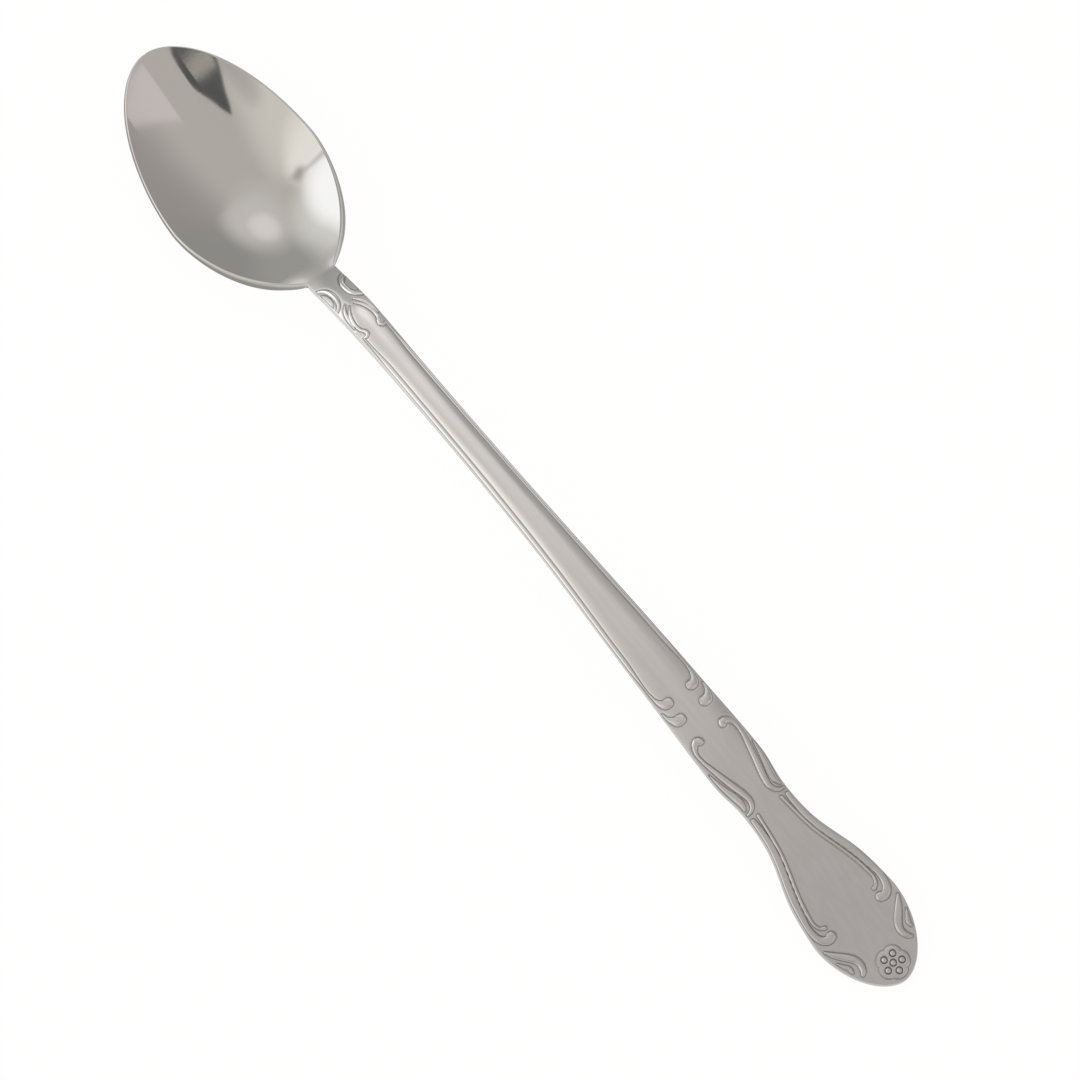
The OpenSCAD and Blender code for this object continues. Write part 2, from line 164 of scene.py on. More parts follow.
def normalAt(x, t, rise):
    ahead = np.minimum(1, np.asarray(t, float) + probe)
    lengthwise = topAt(x + probe, t, rise) - topAt(x, t, rise)
    return unit(np.cross(lengthwise, topAt(x, ahead, rise) - topAt(x, ahead - probe, rise)))


def underAt(x, t, rise):
    x, t = np.broadcast_arrays(np.asarray(x, float), np.asarray(t, float))
    top, wall = topAt(x, t, rise), smoothLine(edgeLine, x)
    shell = top - normalAt(x, t, rise) * wall[..., None]
    flat = np.stack([x, top[..., 1], riseAt(rise, x) - wall / 2 - form["belly"] * (1 - t * t)], -1)
    return mix(shell, flat, onHandle(x)[..., None])


# the heel is lifted until the bowl's underside stands on the table
standing = {"margin": 2, "tries": 400}
keel = np.linspace(standing["margin"], neckAt - standing["margin"], standing["tries"])
heelHeight = -underAt(keel, 0.0, rimRise)[:, 2].min()
riseLine = [
    *[[x, heelHeight + z] for x, z in rimRise],
    *zoneLine(neckAt, form["neckLength"], heelHeight, form["archHeight"], [[0, 0.08], [0.28, 0.36], [0.6, 0.64]]),
    *zoneLine(stemAt, form["stemLength"], 0, form["archHeight"], [[0, 0.86], [0.22, 0.925], [0.5, 0.985], [0.72, 1]]),
    *zoneLine(shoulderAt, form["shoulderLength"], 0, form["archHeight"], [[0, 0.905], [0.43, 0.79], [0.85, 0.66]]),
    *zoneLine(waistAt, form["endLength"], 0, form["archHeight"], [[0.28, 0.46], [0.66, 0.22]]),
    [length, form["endEdge"] / 2 + form["belly"]],
]
print("heel lies", round(float(heelHeight), 2), "mm up at its rim")


# the pattern: each stroke is [mm from the zone's start, share of the half width, width in mm] along its middle
pattern = {
    "neckCrescents": {"node": "neck_crescents", "start": neckAt, "strokes": [
        {"height": 0.19, "flat": 2.0, "tilt": -0.15, "path": [
            [2.45, 0.99, 0.5], [2.85, 0.74, 0.66], [3.7, 0.52, 0.76], [5.1, 0.44, 0.8], [6.5, 0.52, 0.76],
            [7.45, 0.74, 0.66], [7.95, 0.99, 0.5]]},
        {"height": 0.05, "flat": 6.0, "tilt": 0.0, "path": [
            [3.5, 0.98, 0.3], [4.2, 0.89, 0.9], [5.1, 0.86, 1.1], [6.0, 0.89, 0.9], [6.7, 0.98, 0.3]]},
    ]},
    "neckLeaves": {"node": "neck_leaves", "start": neckAt, "strokes": [
        {"height": 0.18, "flat": 2.4, "tilt": 0.0, "path": [
            [7.8, 0.3, 0.2], [8.5, 0.56, 0.5], [9.5, 0.74, 0.58], [10.7, 0.84, 0.5], [12.2, 0.9, 0.25]]},
        {"height": 0.18, "flat": 2.4, "tilt": 0.0, "path": [
            [8.5, 0.18, 0.2], [9.5, 0.47, 0.48], [10.7, 0.65, 0.56], [12.0, 0.73, 0.54], [13.0, 0.67, 0.5],
            [13.6, 0.54, 0.55], [14.15, 0.5, 0.6], [14.5, 0.63, 0.52], [14.4, 0.82, 0.3]]},
    ]},
    "commaCurls": {"node": "comma_curls", "start": shoulderAt, "strokes": [
        {"height": 0.24, "flat": 3.2, "tilt": 0.12, "path": [
            [11.2, 0.9, 0.25], [12.5, 0.86, 0.5], [13.4, 0.77, 1.0], [13.9, 0.64, 1.55], [13.95, 0.54, 1.6]]},
        {"height": 0.24, "flat": 3.2, "tilt": 0.12, "path": [
            [14.7, 0.95, 0.25], [15.8, 0.9, 0.6], [16.6, 0.78, 1.15], [17.05, 0.65, 1.7], [17.1, 0.55, 1.7]]},
    ]},
    "shoulderLeaves": {"node": "shoulder_leaves", "start": shoulderAt, "strokes": [
        {"height": 0.26, "flat": 2.6, "tilt": 0.15, "path": [
            [21.6, 0.5, 1.15], [21.3, 0.57, 1.3], [21.4, 0.7, 1.05], [22.3, 0.83, 0.7], [24.3, 0.84, 0.55],
            [26.0, 0.765, 0.75], [28.0, 0.67, 0.95], [30.0, 0.58, 1.05], [32.0, 0.5, 1.0], [33.2, 0.48, 0.9],
            [34.1, 0.57, 0.75], [34.6, 0.72, 0.6], [34.75, 0.9, 0.42]]},
        {"height": 0.17, "flat": 2.6, "tilt": 0.1, "path": [
            [26.4, 0.95, 0.2], [28.0, 0.91, 0.5], [30.0, 0.86, 0.85], [31.8, 0.82, 1.05], [33.1, 0.82, 0.85],
            [33.9, 0.88, 0.4]]},
    ]},
    "borderScrolls": {"node": "border_scrolls", "start": waistAt, "strokes": [
        {"height": 0.24, "flat": 3.2, "tilt": 0.12, "path": [
            [2.45, 0.88, 0.75], [3.5, 0.875, 0.95], [5.0, 0.87, 1.05], [10.0, 0.88, 1.24], [15.0, 0.905, 1.28],
            [18.0, 0.92, 1.12], [20.0, 0.93, 1.0], [21.4, 0.905, 1.05], [22.4, 0.86, 1.2], [23.05, 0.79, 1.35],
            [23.3, 0.71, 1.45], [23.1, 0.63, 1.5]]},
        {"height": 0.14, "flat": 2.2, "tilt": 0.0, "path": [
            [2.3, 0.6, 0.55], [3.2, 0.62, 0.5], [5.0, 0.65, 0.5], [10.0, 0.69, 0.5], [15.0, 0.75, 0.52],
            [18.5, 0.79, 0.52], [20.4, 0.78, 0.48], [21.2, 0.725, 0.5], [21.55, 0.64, 0.62]]},
    ]},
    "tipLeaves": {"node": "tip_leaves", "start": waistAt, "strokes": [
        {"height": 0.22, "flat": 2.6, "tilt": 0.15, "path": [
            [24.45, 0.94, 0.4], [25.4, 0.87, 0.85], [26.4, 0.78, 1.12], [27.35, 0.69, 1.22], [28.15, 0.635, 1.2],
            [28.95, 0.63, 1.1], [29.65, 0.68, 1.0], [30.25, 0.765, 0.85], [30.6, 0.85, 0.6]]},
        {"height": 0.14, "flat": 2.2, "tilt": 0.0, "path": [
            [26.9, 0.955, 0.25], [27.9, 0.91, 0.6], [28.7, 0.885, 0.72], [29.4, 0.93, 0.4]]},
    ]},
    "edgeThreads": {"node": "edge_threads", "start": stemAt, "cell": 0.07, "strokes": [
        {"height": 0.13, "flat": 2.0, "tilt": 0.0, "inset": 0.38, "width": 0.68, "from": -1.6, "to": 71.6},
    ]},
}
flower = {
    "at": length - 3.0, "radius": 2.68, "petals": 5, "notch": 0.17, "height": 0.16, "flat": 7.0, "far": 1.5,
    "cell": 0.06, "sides": 0.97, "endGap": 0.03, "beadRadius": 0.4, "beadHeight": 0.25, "beadRing": 1.45,
    "beadSides": 28, "beadBands": 16, "groove": 0.5, "grooveWidth": 0.09, "grooveDepth": 0.2,
}
relief = {  # the sheets of raised metal: mm, and shares of the half width
    "cell": 0.1, "cut": -0.1, "cutSlack": 0.005, "sole": -0.3, "margin": 0.35, "rim": 0.2, "rimDrop": 0.4,
    "rimPower": 3, "inner": 0.005, "outer": 0.995, "shade": 0.85, "shadeTop": 0.06, "crest": 0.6, "crestTop": 0.16,
    "sharp": 60,
}
drawIn = {"turns": 4, "step": 0.02, "flattest": 0.05, "share": 0.4, "inside": 0.999}  # how a sheet's edge is evened
strokeForm = {"steps": 90, "threadTaper": 6, "threadTip": 0.3, "thinLift": 0.15, "thinPower": 0.7, "outside": 2,
              "widthTries": 60}
foot = {"depth": 0.045, "reach": 0.18, "shadeReach": 0.13, "far": 9.0}


def edgeShare(x, distance):  # share of the half width at a distance in from the edge
    return 1 - distance / halfWidth(x)


def strokeLine(piece, stroke):  # even places along a stroke's middle, and its half width there
    steps = strokeForm["steps"]
    if "inset" in stroke:
        x = piece["start"] + np.linspace(stroke["from"], stroke["to"], steps * 2)
        fade = strokeForm["threadTaper"] * (1 - np.abs(np.linspace(-1, 1, steps * 2)))
        fade = np.clip(fade, strokeForm["threadTip"], 1)
        return x, edgeShare(x, stroke["inset"]) * halfWidth(x), stroke["width"] / 2 * fade
    points = np.array(stroke["path"], float)
    across = points[:, 1] * halfWidth(piece["start"] + points[:, 0])
    run = np.concatenate([[0], np.cumsum(np.hypot(np.diff(points[:, 0]), np.diff(across)))])
    even = np.linspace(0, run[-1], steps)
    x, t, width = [smoothLine(np.stack([run, column], 1), even) for column in points.T]
    x = piece["start"] + x
    return x, t * halfWidth(x), width / 2


for piece in pattern.values():
    for stroke in piece["strokes"]:
        stroke["x"], stroke["y"], stroke["half"] = strokeLine(piece, stroke)


def strokeField(stroke, x, y):  # distance out from a stroke's edge, and its height over the blank
    lineX, lineY, half = stroke["x"], stroke["y"], stroke["half"]
    ax, ay, dx, dy = lineX[:-1], lineY[:-1], np.diff(lineX), np.diff(lineY)
    px, py = x[:, None] - ax, y[:, None] - ay
    s = np.clip((px * dx + py * dy) / np.maximum(dx * dx + dy * dy, tiny), 0, 1)
    away = np.hypot(px - s * dx, py - s * dy)
    wide = mix(half[:-1], half[1:], s)
    near = (away - wide).argmin(axis=1)
    away, wide, px, py = [np.take_along_axis(field, near[:, None], 1)[:, 0] for field in (away, wide, px, py)]
    side = np.sign(dx[near] * py - dy[near] * px)
    q = np.minimum(away / wide, strokeForm["outside"])
    thin = np.minimum(1, wide / half.max() + strokeForm["thinLift"]) ** strokeForm["thinPower"]
    height = stroke["height"] * thin
    return away - wide, height * (1 - q ** stroke["flat"]) * (1 + stroke["tilt"] * side * np.minimum(q, 1))


def closeTo(stroke, x, y, reach=1.0):
    return ((x > stroke["x"].min() - reach) & (x < stroke["x"].max() + reach)
            & (y > stroke["y"].min() - reach) & (y < stroke["y"].max() + reach))


def flowerEdge(x, y):  # share of the way out to the petals' edge
    turn = np.arctan2(y, x - flower["at"])
    lobe = np.sqrt(np.abs(np.cos(flower["petals"] * turn / 2)))
    return np.hypot(x - flower["at"], y) / (flower["radius"] * (1 - flower["notch"] * (1 - lobe)))


def beadPlaces():
    middle, out = flower["at"], flower["beadRing"]
    turns = [2 * math.pi * i / flower["petals"] for i in range(flower["petals"])]
    return [(middle, 0.0)] + [(middle + out * math.cos(a), out * math.sin(a)) for a in turns]


def strokesHeight(strokes):
    def heightAt(x, y):
        best = np.full(x.shape, relief["sole"])
        for stroke in strokes:
            pick = closeTo(stroke, x, y)
            if pick.any():
                best[pick] = np.maximum(best[pick], strokeField(stroke, x[pick], y[pick])[1])
        rim = np.maximum(0, 1 - (halfWidth(x) - y) / relief["rim"])
        return np.maximum(best - relief["rimDrop"] * rim ** relief["rimPower"], relief["sole"])
    return heightAt


def petalsHeight(x, y):
    height = flower["height"] * (1 - np.minimum(flowerEdge(x, y), flower["far"]) ** flower["flat"])
    for beadX, beadY in beadPlaces():
        away = (np.hypot(x - beadX, y - beadY) - flower["groove"]) / flower["grooveWidth"]
        height = height - flower["grooveDepth"] * np.exp(-away * away)
    return np.maximum(height, relief["sole"])


def footFade(x, y):  # how deep the metal is beside the pattern, and how much painted shade darkens it there
    near = np.full(x.shape, foot["far"])
    side = np.abs(y)
    for piece in pattern.values():
        for stroke in piece["strokes"]:
            pick = closeTo(stroke, x, side)
            if pick.any():
                near[pick] = np.minimum(near[pick], strokeField(stroke, x[pick], side[pick])[0])
    near = np.minimum(near, (flowerEdge(x, y) - 1) * flower["radius"])
    near = np.maximum(near, 0)
    return foot["depth"] * np.exp(-(near / foot["reach"]) ** 2), np.exp(-(near / foot["shadeReach"]) ** 2)


def unitTube(rings, sides):  # a tube of unit radius, one ring at each whole x
    bm = bmesh.new()
    bmesh.ops.create_circle(bm, segments=sides, radius=1.0)
    bmesh.ops.rotate(bm, verts=bm.verts, cent=(0, 0, 0), matrix=Matrix.Rotation(math.radians(90), 3, "Y"))
    bmesh.ops.spin(bm, geom=bm.verts[:] + bm.edges[:], cent=(0, 0, 0), axis=(1, 0, 0), dvec=(1, 0, 0),
                   angle=0.0, steps=rings - 1, use_merge=False, use_duplicate=False)
    return bm


def capEnds(bm, rings, near=0.01):
    for at in (0, rings - 1):
        rim = [e for e in bm.edges if e.is_boundary and all(abs(v.co.x - at) < near for v in e.verts)]
        bmesh.ops.triangle_fill(bm, edges=rim, use_beauty=False, use_dissolve=False)


def placeTube(name, bm, rings, sides, points, shade, material, slot, sharp=50, weld=1e-7):
    tube = bpy.data.meshes.new(name)
    bm.to_mesh(tube)
    bm.free()
    co = np.zeros(len(tube.vertices) * 3)
    tube.vertices.foreach_get("co", co)
    co = co.reshape(-1, 3)
    ring = np.clip(np.round(co[:, 0]).astype(int), 0, rings - 1)
    side = np.round(np.arctan2(co[:, 1], co[:, 2]) / (2 * math.pi) * sides).astype(int) % sides
    tube.vertices.foreach_set("co", (points[ring, side] * mm).astype(np.float32).ravel())
    hollow = tube.attributes.new("hollow", "FLOAT", "POINT")
    hollow.data.foreach_set("value", shade[ring, side].astype(np.float32))
    buffing = tube.attributes.new("buffed", "FLOAT", "POINT")
    buffing.data.foreach_set("value", buffedAt(points[ring, side, 0] + length / 2).astype(np.float32))
    bm = bmesh.new()
    bm.from_mesh(tube)
    bmesh.ops.remove_doubles(bm, verts=bm.verts, dist=weld)
    bmesh.ops.recalc_face_normals(bm, faces=bm.faces)
    for face in bm.faces:
        face.smooth = True
    bm.to_mesh(tube)
    bm.free()
    tube.set_sharp_from_angle(angle=math.radians(sharp))
    piece = bpy.data.objects.new(name, tube)
    bpy.context.scene.collection.objects.link(piece)
    tube.materials.append(material)
    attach(piece, "root")
    return piece


def centred(points):
    return points - np.array([length / 2, 0, 0])


# materials

def linear(code):  # sRGB hex to linear
    parts = [int(code[i:i + 2], 16) / 255 for i in (1, 3, 5)]
    return [c / 12.92 if c <= 0.04045 else ((c + 0.055) / 1.055) ** 2.4 for c in parts] + [1.0]


def add(tree, kind, settings=None, links=None):  # one node with its settings and its incoming links
    node = tree.nodes.new(kind)
    for key, value in (settings or {}).items():
        if isinstance(key, int) or key in node.inputs:
            node.inputs[key].default_value = value
        else:
            setattr(node, key, value)
    for key, source in (links or {}).items():
        tree.links.new(source, node.inputs[key])
    return node


def newMaterial(name):
    material = bpy.data.materials.new(name)
    material.use_nodes = True
    material.node_tree.nodes.clear()
    return material, material.node_tree


# attribute "hollow" is 1 at the pattern's foot and on the sheared edge and carries painted shade there, "buffed" is 1
# where the bowl's wheel has run;
# tones are at places in mm from the bowl's tip, and along the handle they also hold painted light
finishes = {
    # 18/8 stainless steel buffed on a soft wheel: a clear mirror with hair-fine wiping marks; its sheared edge is
    # greyed, partly duller metal and partly painted shade
    "mirrorBuffedStainless": {
        "tonesAndLight": [(0, "#BEBDBA")], "shade": "#8E8C88", "smooth": (0.045, 0.065), "bump": 0.025, "streak": 0.0,
    },
    # the same steel as the coining die leaves it, tumbled: soft satin with lengthwise hairlines and faint rolling
    # streaks, rougher and with painted shade in the pattern's hollows, and with painted light along its length,
    # brighter on the thin stem than on the broad end
    "tumbledStainless": {
        "tonesAndLight": [(45.5, "#BFBEBC"), (52, "#D4D3D2"), (71, "#D9D8D7"), (95, "#CFCECD"), (123, "#CAC9C8"),
                  (145, "#BEBDBC"), (176, "#B7B6B6")],
        "shade": "#86837E", "smooth": (0.16, 0.22), "bump": 0.09, "streak": 0.03,
    },
}
wear = {
    "hairAlong": 5.0, "hairAcross": 0.3, "streakAlong": 34.0, "streakAcross": 0.85, "cloud": 5.0, "grit": 0.22,  # mm
    "markDepth": 0.04, "gritShare": 0.35, "recessDull": 0.14,  # mm, share in the marks, added roughness
    "noise": (0.3, 0.7),  # between these nearly all of a noise's values lie
}


def stainless(name):
    look, polish = finishes[name], finishes["mirrorBuffedStainless"]
    low, high = wear["noise"]
    material, tree = newMaterial(name)
    place = add(tree, "ShaderNodeTexCoord")
    along, across = 1 / (wear["hairAlong"] * mm), 1 / (wear["hairAcross"] * mm)
    streak = add(tree, "ShaderNodeMapping", {"Scale": (along, across, across)}, {"Vector": place.outputs["Object"]})
    hair = add(tree, "ShaderNodeTexNoise", {"Scale": 1.0, "Detail": 4.0, "Roughness": 0.6},
               {"Vector": streak.outputs["Vector"]})
    grit = add(tree, "ShaderNodeTexNoise", {"Scale": 1 / (wear["grit"] * mm), "Detail": 2.0},
               {"Vector": place.outputs["Object"]})
    cloud = add(tree, "ShaderNodeTexNoise", {"Scale": 1 / (wear["cloud"] * mm), "Detail": 3.0, "Roughness": 0.5},
                {"Vector": place.outputs["Object"]})
    # the hollow attribute is the painted shade mask: it darkens the tone towards the shade colour and adds roughness
    paintedShadeMask = add(tree, "ShaderNodeAttribute", {"attribute_name": "hollow", "attribute_type": "GEOMETRY"})
    buffed = add(tree, "ShaderNodeAttribute", {"attribute_name": "buffed", "attribute_type": "GEOMETRY"})
    # painted light: the tone is stepped along the part, so the stem is painted brighter and the broad end darker, in
    # place of how the room's light falls on them
    spot = add(tree, "ShaderNodeSeparateXYZ", {}, {"Vector": place.outputs["Object"]})
    share = add(tree, "ShaderNodeMapRange", {"From Min": -length / 2 * mm, "From Max": length / 2 * mm},
                {"Value": spot.outputs["X"]})
    toneAndLightRamp = add(tree, "ShaderNodeValToRGB", {}, {"Fac": share.outputs["Result"]})
    stops = toneAndLightRamp.color_ramp.elements
    stops.remove(stops[1])
    for i, (at, code) in enumerate(look["tonesAndLight"]):
        stop = stops.new(at / length) if i else stops[0]
        stop.position, stop.color = at / length, linear(code)
    along, across = 1 / (wear["streakAlong"] * mm), 1 / (wear["streakAcross"] * mm)
    drawn = add(tree, "ShaderNodeMapping", {"Scale": (along, across, across)}, {"Vector": place.outputs["Object"]})
    bands = add(tree, "ShaderNodeTexNoise", {"Scale": 1.0, "Detail": 2.0, "Roughness": 0.5},
                {"Vector": drawn.outputs["Vector"]})
    faint = add(tree, "ShaderNodeMapRange", {"From Min": low, "From Max": high, "To Min": 1 - look["streak"],
                                             "To Max": 1 + look["streak"]}, {"Value": bands.outputs["Fac"]})
    rolled = add(tree, "ShaderNodeMix", {"data_type": "RGBA", "blend_type": "MULTIPLY", 0: 1.0},
                 {6: toneAndLightRamp.outputs["Color"], 7: faint.outputs["Result"]})
    tone = add(tree, "ShaderNodeMix", {"data_type": "RGBA", 7: linear(look["shade"])},
               {0: paintedShadeMask.outputs["Fac"], 6: rolled.outputs[2]})
    satin, clear = [
        add(tree, "ShaderNodeMapRange", {"From Min": low, "From Max": high, "To Min": fine, "To Max": rough},
            {"Value": cloud.outputs["Fac"]}) for fine, rough in (look["smooth"], polish["smooth"])]
    wheel = add(tree, "ShaderNodeMix", {"data_type": "FLOAT"},
                {0: buffed.outputs["Fac"], 2: satin.outputs["Result"], 3: clear.outputs["Result"]})
    dull = add(tree, "ShaderNodeMath", {"operation": "MULTIPLY_ADD", 1: wear["recessDull"]},
               {0: paintedShadeMask.outputs["Fac"], 2: wheel.outputs[0]})
    marks = add(tree, "ShaderNodeMix", {"data_type": "FLOAT", 0: wear["gritShare"]},
                {2: hair.outputs["Fac"], 3: grit.outputs["Fac"]})
    depth = add(tree, "ShaderNodeMix", {"data_type": "FLOAT", 2: look["bump"], 3: polish["bump"]},
                {0: buffed.outputs["Fac"]})
    bump = add(tree, "ShaderNodeBump", {"Distance": wear["markDepth"] * mm},
               {"Height": marks.outputs[0], "Strength": depth.outputs[0]})
    steel = add(tree, "ShaderNodeBsdfPrincipled", {"Metallic": 1.0},
                {"Base Color": tone.outputs[2], "Roughness": dull.outputs["Value"], "Normal": bump.outputs["Normal"]})
    add(tree, "ShaderNodeOutputMaterial", {}, {"Surface": steel.outputs["BSDF"]})
    return material


mirrorSteel = stainless("mirrorBuffedStainless")
satinSteel = stainless("tumbledStainless")
wheelEnd = {"from": neckAt + 2.0, "to": stemAt + 4.0}  # the bowl's polish fades out between these places
print("materials ready")


def buffedAt(x):  # how much of the bowl's polish a place in mm from the bowl's tip still has
    return 1 - ease((x - wheelEnd["from"]) / (wheelEnd["to"] - wheelEnd["from"]))


# zones of the blank: rings along it, and points across the top and the underside of each
zones = {
    "bowl": {"title": "bowlShell", "rings": 150, "across": 90, "below": 60},
    "neck": {"title": "neckBar", "rings": 130, "across": 60, "below": 24},
    "stem": {"title": "stemBar", "from": stemAt, "to": shoulderAt, "rings": 170, "across": 60, "below": 24},
    "shoulder": {"title": "shoulderBar", "from": shoulderAt, "to": waistAt, "rings": 230, "across": 84, "below": 24},
    "handle_end": {"title": "handleEndPlate", "rings": 250, "across": 124, "below": 36},
}
spacing = {"tipTurn": 0.8, "endTurn": 89.2, "quarter": 90, "endBody": (5, 9), "neckPower": 1.6, "crowding": 0.5}
lip = {"points": 11, "bulge": 0.16}  # the rounded edge between the top and the underside
shearedEdgeShade = {"bowl": 1.0, "handle": 0.45, "from": 0.28, "fade": 0.25, "under": 0.1}  # how strong and how far the edge's grey reaches: partly the sheared edge's duller metal, partly painted shade


def ringPlaces(name, zone):
    n = zone["rings"]
    if name == "bowl":  # closer together towards the tip and the heel
        turn = np.radians(np.linspace(spacing["tipTurn"], spacing["quarter"], n // 2))
        tip = form["bowlWidest"] - (form["bowlWidest"] - tipInset) * np.cos(turn)
        turn = np.radians(np.linspace(0, spacing["quarter"], n - n // 2 + 1))
        return np.concatenate([tip, (form["bowlWidest"] + heelLength * np.sin(turn))[1:]])
    if name == "handle_end":
        part, whole = spacing["endBody"]
        body = np.linspace(waistAt, roundAt, n * part // whole)
        turn = np.linspace(0, spacing["endTurn"], n - len(body) + 1)[1:]
        return np.concatenate([body, roundAt + form["endRound"] * np.sin(np.radians(turn))])
    if name == "neck":  # closer together where it leaves the bowl
        return neckAt + form["neckLength"] * np.linspace(0, 1, n) ** spacing["neckPower"]
    return np.linspace(zone["from"], zone["to"], n)


def zonePoints(name, zone):
    x = ringPlaces(name, zone)[:, None]
    s = np.linspace(-1, 1, zone["across"])
    t = mix(s, np.sin(s * math.pi / 2), spacing["crowding"])[None, :]  # closer together at the edges
    top = topAt(x, t, riseLine)
    up = normalAt(x, t, riseLine)
    # painted shade on the field beside the pattern
    depth, shade = footFade(np.broadcast_to(x, top.shape[:2]), top[..., 1])
    if name == "bowl":
        depth, shade = depth * 0, shade * 0
    top = top - up * depth[..., None]
    below = underAt(x, np.linspace(1, -1, zone["below"])[None, :], riseLine)
    slope = (halfWidth(x + probe) - halfWidth(x - probe)) / (2 * probe)
    slope[-1] = slope[-2] if name == "handle_end" else slope[-1]
    parts, shades = [top], [shade]
    # painted shade on the edge wall and the underside's border, partly the sheared edge's duller metal, strength per
    # zone
    edgeShade = np.ones((len(x), 1)) * shearedEdgeShade["bowl" if name == "bowl" else "handle"]
    steps = 0.5 - 0.5 * np.cos(np.linspace(0, math.pi, lip["points"] + 2)[1:-1])
    for side in (1, -1):
        a, b = (top[:, -1], below[:, 0]) if side == 1 else (top[:, 0], below[:, -1])
        chord = unit(b - a)
        out = unit(np.concatenate([-slope, np.full_like(slope, side), np.zeros_like(slope)], 1))
        out = unit(out - (out * chord).sum(1, keepdims=True) * chord)
        reach = out * np.linalg.norm(b - a, axis=1, keepdims=True) * lip["bulge"]
        arc = [a * (1 - s) ** 3 + 3 * (a + reach) * s * (1 - s) ** 2 + 3 * (b + reach) * s**2 * (1 - s) + b * s**3
               for s in steps]
        arc = np.stack(arc, 1)
        fade = ease((steps - shearedEdgeShade["from"]) / shearedEdgeShade["fade"])[None, :] * edgeShade
        if side == 1:
            inward = 1 - np.abs(np.linspace(1, -1, zone["below"]))
            parts += [arc, below]
            shades += [fade, edgeShade * (1 - ease(inward / shearedEdgeShade["under"]))[None, :]]
        else:
            parts += [arc[:, ::-1]]
            shades += [fade[:, ::-1]]
    return np.concatenate(parts, 1), np.concatenate(shades, 1)


for name, zone in zones.items():
    points, shade = zonePoints(name, zone)
    rings, sides = points.shape[:2]
    bm = unitTube(rings, sides)
    capEnds(bm, rings)
    material, slot = (mirrorSteel, "polished_steel") if name == "bowl" else (satinSteel, "satin_steel")
    piece = placeTube(zone["title"], bm, rings, sides, centred(points), shade, material, slot)
    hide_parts(name)
    print(zone["title"], len(piece.data.polygons), "faces")


# the raised pattern: a fine sheet of metal over the blank for each piece, sunk into it all round
def reliefPiece(name, node, heightAt, box, mirrored, cell):
    x0, x1, t0, t1 = box
    wide = float(halfWidth(np.linspace(x0, x1, strokeForm["widthTries"])).max())
    nx, ny = int((x1 - x0) / cell), int((t1 - t0) * wide / cell)
    x, t = np.meshgrid(np.linspace(x0, x1, nx + 1), np.linspace(t0, t1, ny + 1), indexing="ij")
    x, y = x.ravel(), (t * halfWidth(x)).ravel()
    height = heightAt(x, y)
    step, cut = drawIn["step"], relief["cut"]
    for _ in range(drawIn["turns"]):  # the sheet's edge is drawn in to an even depth
        loose = (height < cut) & (height > relief["sole"])
        gx = (heightAt(x[loose] + step, y[loose]) - heightAt(x[loose] - step, y[loose])) / (2 * step)
        gy = (heightAt(x[loose], y[loose] + step) - heightAt(x[loose], y[loose] - step)) / (2 * step)
        move = (cut - height[loose]) / np.maximum(gx * gx + gy * gy, drawIn["flattest"])
        shift = np.stack([move * gx, move * gy])
        shift *= np.minimum(1, cell * drawIn["share"] / np.maximum(np.hypot(*shift), tiny))
        x[loose], y[loose] = x[loose] + shift[0], y[loose] + shift[1]
        height[loose] = heightAt(x[loose], y[loose])
    t = np.clip(y / halfWidth(x), -drawIn["inside"], drawIn["inside"])
    spot, up = centred(topAt(x, t, riseLine)), normalAt(x, t, riseLine)
    top = ((spot + up * height[:, None]) * mm).reshape(nx + 1, ny + 1, 3)
    sole = ((spot + up * relief["sole"]) * mm).reshape(nx + 1, ny + 1, 3)
    # painted shade: the sheet is darkened where it sinks towards the blank, at the pattern's foot
    shade = relief["shade"] * np.clip(1 - height / relief["shadeTop"], 0, 1).reshape(nx + 1, ny + 1)
    crest = relief["crest"] * (np.clip(height / relief["crestTop"], 0, 1) ** 2).reshape(nx + 1, ny + 1)
    height = height.reshape(nx + 1, ny + 1)
    bm = bmesh.new()
    bmesh.ops.create_grid(bm, x_segments=nx, y_segments=ny, size=1.0)
    column, row = bm.verts.layers.int.new("column"), bm.verts.layers.int.new("row")
    hollow, buffing = bm.verts.layers.float.new("hollow"), bm.verts.layers.float.new("buffed")
    for v in bm.verts:
        v[column], v[row] = round((v.co.x + 1) / 2 * nx), round((v.co.y + 1) / 2 * ny)
        v[hollow], v[buffing] = shade[v[column], v[row]], crest[v[column], v[row]]
    waste = [f for f in bm.faces if max(height[v[column], v[row]] for v in f.verts) < cut + relief["cutSlack"]]
    bmesh.ops.delete(bm, geom=waste, context="FACES")
    raised = bmesh.ops.extrude_face_region(bm, geom=bm.faces[:])["geom"]
    raised = {v for v in raised if isinstance(v, bmesh.types.BMVert)}
    for v in bm.verts:
        v.co = (top if v in raised else sole)[v[column], v[row]]
        v[buffing] = max(v[buffing], float(buffedAt(v.co.x / mm + length / 2)))
    if mirrored:
        other = bmesh.ops.duplicate(bm, geom=bm.verts[:] + bm.edges[:] + bm.faces[:])["geom"]
        bmesh.ops.scale(bm, verts=[v for v in other if isinstance(v, bmesh.types.BMVert)], vec=(1, -1, 1))
    bm.verts.layers.int.remove(bm.verts.layers.int["column"])
    bm.verts.layers.int.remove(bm.verts.layers.int["row"])
    bmesh.ops.recalc_face_normals(bm, faces=bm.faces)
    finishPiece(name, bm, node, satinSteel, relief["sharp"])


